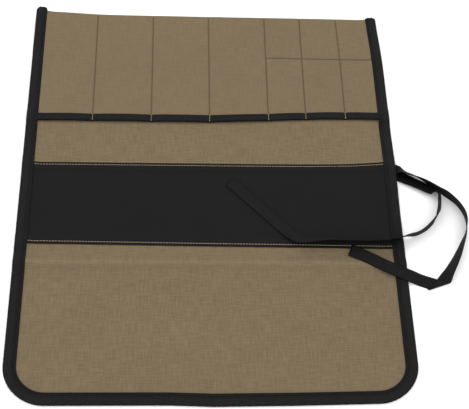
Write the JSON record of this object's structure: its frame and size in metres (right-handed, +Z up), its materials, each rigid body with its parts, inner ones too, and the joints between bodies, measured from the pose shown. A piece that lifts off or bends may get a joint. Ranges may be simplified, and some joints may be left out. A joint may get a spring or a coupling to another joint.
{
  "type": "tool roll",
  "caption": "Flat open canvas tool roll with a folded-over row of pockets, a black band across the middle, bound edges and two flat ties.",
  "frame": {"origin": "centre of the bottom of the roll's bounding box, measured without the two ties: under the middle of the roll, on what it rests on", "axes": "+X to the side that the ties leave, +Y to the folded edge behind the pockets, +Z up, the side that the pockets open on"},
  "size_m": [0.4468, 0.4545, 0.0177],
  "materials": {
    "natural_canvas": "undyed plain-weave cotton canvas",
    "black_band_cloth": "matt black cotton canvas",
    "black_twill_binding": "matt black cotton twill tape",
    "black_twill_tie": "matt black cotton twill tape"
  },
  "bodies": {
    "root": {"canvas_body": "natural_canvas", "black_band": "black_band_cloth", "pocket_mouth_tape": "black_twill_binding", "edge_binding": "black_twill_binding", "tie_long": "black_twill_tie", "tie_short": "black_twill_tie"}
  },
  "joints": []
}
